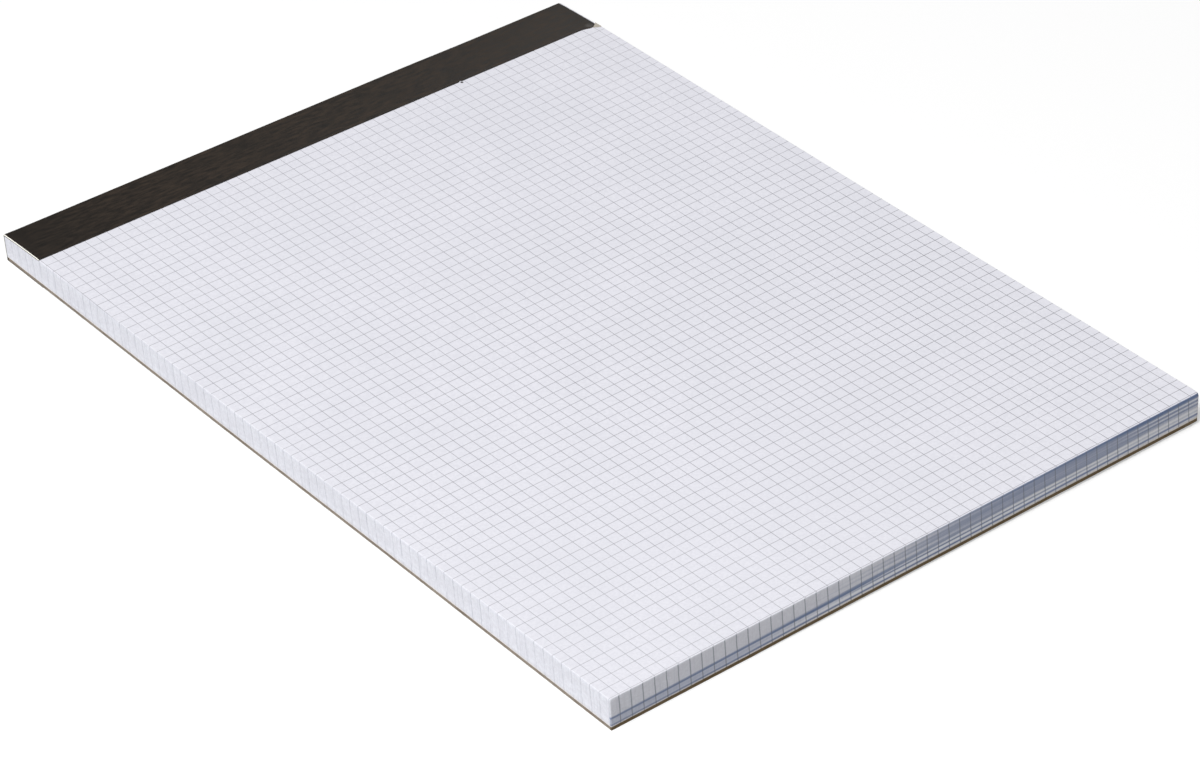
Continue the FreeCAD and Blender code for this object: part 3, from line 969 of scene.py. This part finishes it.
span = len(path)
last = span - 1
for index in range(len(columns) - 1):
    here, after = index * 2 * span, (index + 1) * 2 * span
    over_here, over_after = here + span, after + span
    for step in range(last):
        add_face(BLACK_FACE, here + step, here + step + 1, after + step + 1, after + step)
        add_face(BLACK_FACE, over_here + step, over_after + step, over_after + step + 1,
                 over_here + step + 1)
    add_face(BLACK_FACE, here, after, over_after, over_here)
    add_face(BLACK_FACE, here + last, over_here + last, over_after + last, after + last)
# Each cut end shows the pale core above a thin dark line of painted shadow.
for start, flip in ((0, False), ((len(columns) - 1) * 2 * span, True)):
    between = len(tape_vertices)
    for step in range(span):
        low = np.array(tape_vertices[start + step])
        high = np.array(tape_vertices[start + span + step])
        tape_vertices.append(tuple(low + (high - low) * SHADOW_LINE_SHARE))
    for step in range(last):
        for low, high, kind in ((start, between, SHADOW_LINE), (between, start + span, PALE_CORE)):
            add_face(kind, low + step, high + step, high + step + 1, low + step + 1, flip=flip)

# Torn tongue of the pale core beside the black corner, and a black scrap out of the nick. Both
# lie on the top sheet.
for shape, heights, kind in ((TONGUE, TONGUE_HEIGHTS, PALE_CORE),
                             (SCRAP, SCRAP_HEIGHTS, BLACK_FACE)):
    low, size = len(tape_vertices), len(shape)
    high = low + size
    for lifted in heights:
        tape_vertices.extend((x, y, float(top_height(y)) + lifted) for x, y in shape)
    add_face(kind, *range(low, high), flip=True)
    add_face(kind, *range(high, high + size))
    for index in range(size):
        after = (index + 1) % size
        add_face(kind, low + index, low + after, high + after, high + index)
tape = new_piece("binding_strip", tape_vertices, tape_faces, smooth=False)
tape.data.polygons.foreach_set("material_index", face_kinds)

# The face: black with some brown in it, streaked along the strip, and worn grey in one spot by
# the torn corner. Its left end is painted darker, where the face mirrors less light: painted shade.
face_material, tree, shader = bare_material("black_tape_face")
place, (place_x, _, _) = places_in_mm(tree)
streaks = noise(tree, scaled(tree, place, TAPE_STREAKS), 0.9, 5.0, 0.68)
grain = use(tree, fibre_grain, Place=place, Cloud_Scale=0.05, Fibre_Scale=2.0)
tone = mixed(tree, ramp(tree, streaks, 0.35, 0.68), TAPE_DARK, TAPE_BROWN)
# Painted shade: the face darkens towards its left end, for the sheen it lacks there.
dark = maths(tree, "MAXIMUM", product(tree, grain["Cloud"], 0.45), ramp(tree, place_x, *PAINTED_SHADE_LEFT_END))
tone = mixed(tree, dark, tone, TAPE_BLACK)
flat = scaled(tree, place, (1.0, 1.0, 0.0))
to_patch = node(tree, "VectorMath", flat, WORN_PATCH, operation="DISTANCE").outputs["Value"]
worn = product(tree, ramp(tree, to_patch, 0.5, 1.9, 1.0, 0.0),
               ramp(tree, grain["Height"], 0.35, 0.60, 0.25, 0.85))
tone = mixed(tree, worn, tone, TAPE_WORN)
feed(tree, tone, shader.inputs["Base Color"])
feed(tree, ramp(tree, streaks, 0.3, 0.7, *TAPE_ROUGHNESS), shader.inputs["Roughness"])
shader.inputs["Specular IOR Level"].default_value = TAPE_GLOSS
rough = maths(tree, "ADD", product(tree, grain["Height"], 0.6), streaks)
bump = node(tree, "Bump", inputs={**TAPE_RELIEF, "Height": rough})
feed(tree, bump.outputs[0], shader.inputs["Normal"])

# The core: pale fibres, soiled where it is torn.
core_material, tree, shader = bare_material("bare_tape_core")
place, (place_x, place_y, _) = places_in_mm(tree)
grain = use(tree, fibre_grain, Place=place, Cloud_Scale=0.8, Fibre_Scale=5.0)
torn = product(tree, ramp(tree, place_x, 103.0, 104.5), ramp(tree, place_y, 131.0, 130.5))
soiled = maths(tree, "MAXIMUM", product(tree, grain["Cloud"], 0.25), torn)
tone = mixed(tree, soiled, TAPE_CORE, TAPE_CORE_DARK)
feed(tree, tone, shader.inputs["Base Color"])
feed(tree, ramp(tree, grain["Height"], 0.2, 0.8, *CORE_ROUGHNESS), shader.inputs["Roughness"])
shader.inputs["Specular IOR Level"].default_value = CORE_GLOSS
bump = node(tree, "Bump", inputs={**CORE_RELIEF, "Height": grain["Height"]})
feed(tree, bump.outputs[0], shader.inputs["Normal"])

# Painted shadow: a thin dark line under the core at the cut ends, where the tape's end stands over
# the sheets.
shadow_line_material, tree, shader = bare_material("painted_shadow_line")
place, _ = places_in_mm(tree)
grain = use(tree, fibre_grain, Place=place, Cloud_Scale=0.6, Fibre_Scale=3.0)
feed(tree, mixed(tree, grain["Cloud"], SHADOW_LINE_DARK, SHADOW_LINE_PALE), shader.inputs["Base Color"])
feed(tree, ramp(tree, grain["Height"], 0.2, 0.8, *SHADOW_LINE_ROUGHNESS), shader.inputs["Roughness"])

for material in (face_material, core_material, shadow_line_material):
    tape.data.materials.append(material)
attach(tape, "root")
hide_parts("binding_tape")
